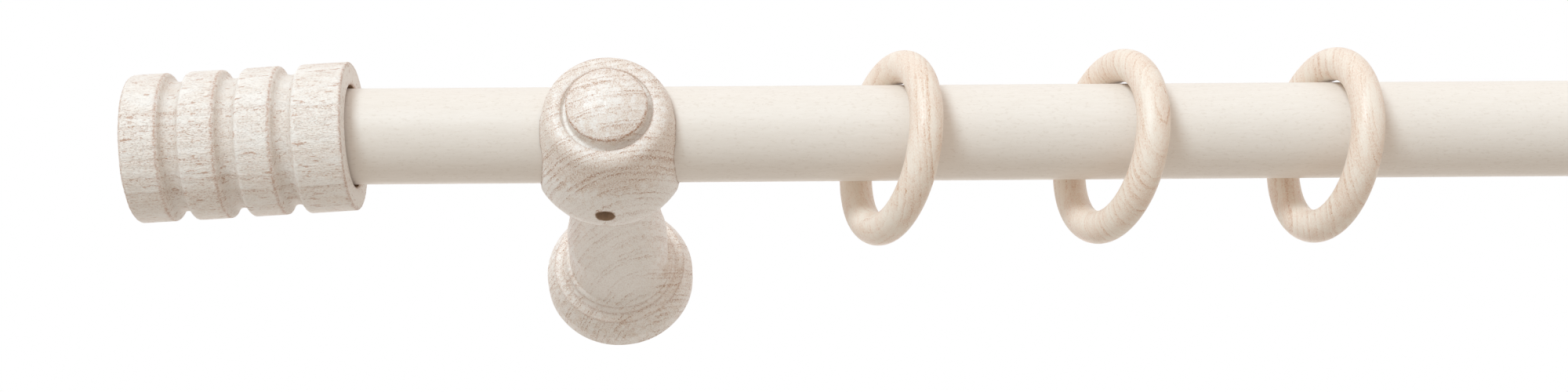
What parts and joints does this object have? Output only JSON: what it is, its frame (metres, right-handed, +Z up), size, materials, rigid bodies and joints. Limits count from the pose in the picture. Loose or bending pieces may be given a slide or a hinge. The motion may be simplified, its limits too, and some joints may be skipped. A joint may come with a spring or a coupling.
{
  "type": "curtain rod with brackets",
  "caption": "Wooden curtain pole held off the wall by turned brackets, with grooved push-on finials and sliding rings.",
  "frame": {"origin": "on the wall plane, midway between the two threaded inserts in the brackets' bases", "axes": "+X along the pole, +Y into the wall, +Z up"},
  "size_m": [1.1044, 0.1225, 0.0576],
  "materials": {
    "pole_paint": "smooth white-limed lacquer, satin",
    "bracket_beech": "turned beech with white lime rubbed into the grain, matt",
    "ring_beech": "turned beech, thin white lime, satin",
    "finial_beech": "brushed and white-limed beech, matt, worn at the edges",
    "zinc_steel": "zinc plated"
  },
  "bodies": {
    "rod": {"pole": "pole_paint", "bracket_left": "bracket_beech", "bracket_right": "bracket_beech", "wall_insert_left": "zinc_steel", "wall_insert_right": "zinc_steel", "fixing_screw_left": "zinc_steel", "fixing_screw_right": "zinc_steel"},
    "finial_left": {"finial_left": "finial_beech"},
    "finial_right": {"finial_right": "finial_beech"},
    "ring_1": {"ring_1": "ring_beech"},
    "ring_2": {"ring_2": "ring_beech"},
    "ring_3": {"ring_3": "ring_beech"},
    "ring_4": {"ring_4": "ring_beech"},
    "ring_5": {"ring_5": "ring_beech"},
    "ring_6": {"ring_6": "ring_beech"},
    "ring_7": {"ring_7": "ring_beech"},
    "ring_8": {"ring_8": "ring_beech"},
    "ring_9": {"ring_9": "ring_beech"}
  },
  "joints": [
    {"name": "finial_left_pull", "type": "slide", "parent": "rod", "child": "finial_left", "axis": [-1, 0, 0], "range_m": [0, 0.04]},
    {"name": "finial_right_pull", "type": "slide", "parent": "rod", "child": "finial_right", "axis": [1, 0, 0], "range_m": [0, 0.04]},
    {"name": "ring_1_slide", "type": "slide", "parent": "rod", "child": "ring_1", "axis": [1, 0, 0], "range_m": [-0.044, 0.047]},
    {"name": "ring_2_slide", "type": "slide", "parent": "rod", "child": "ring_2", "axis": [1, 0, 0], "range_m": [-0.047, 0.047]},
    {"name": "ring_3_slide", "type": "slide", "parent": "rod", "child": "ring_3", "axis": [1, 0, 0], "range_m": [-0.047, 0.047]},
    {"name": "ring_4_slide", "type": "slide", "parent": "rod", "child": "ring_4", "axis": [1, 0, 0], "range_m": [-0.047, 0.047]},
    {"name": "ring_5_slide", "type": "slide", "parent": "rod", "child": "ring_5", "axis": [1, 0, 0], "range_m": [-0.047, 0.047]},
    {"name": "ring_6_slide", "type": "slide", "parent": "rod", "child": "ring_6", "axis": [1, 0, 0], "range_m": [-0.047, 0.047]},
    {"name": "ring_7_slide", "type": "slide", "parent": "rod", "child": "ring_7", "axis": [1, 0, 0], "range_m": [-0.047, 0.047]},
    {"name": "ring_8_slide", "type": "slide", "parent": "rod", "child": "ring_8", "axis": [1, 0, 0], "range_m": [-0.047, 0.047]},
    {"name": "ring_9_slide", "type": "slide", "parent": "rod", "child": "ring_9", "axis": [1, 0, 0], "range_m": [-0.047, 0.044]}
  ]
}
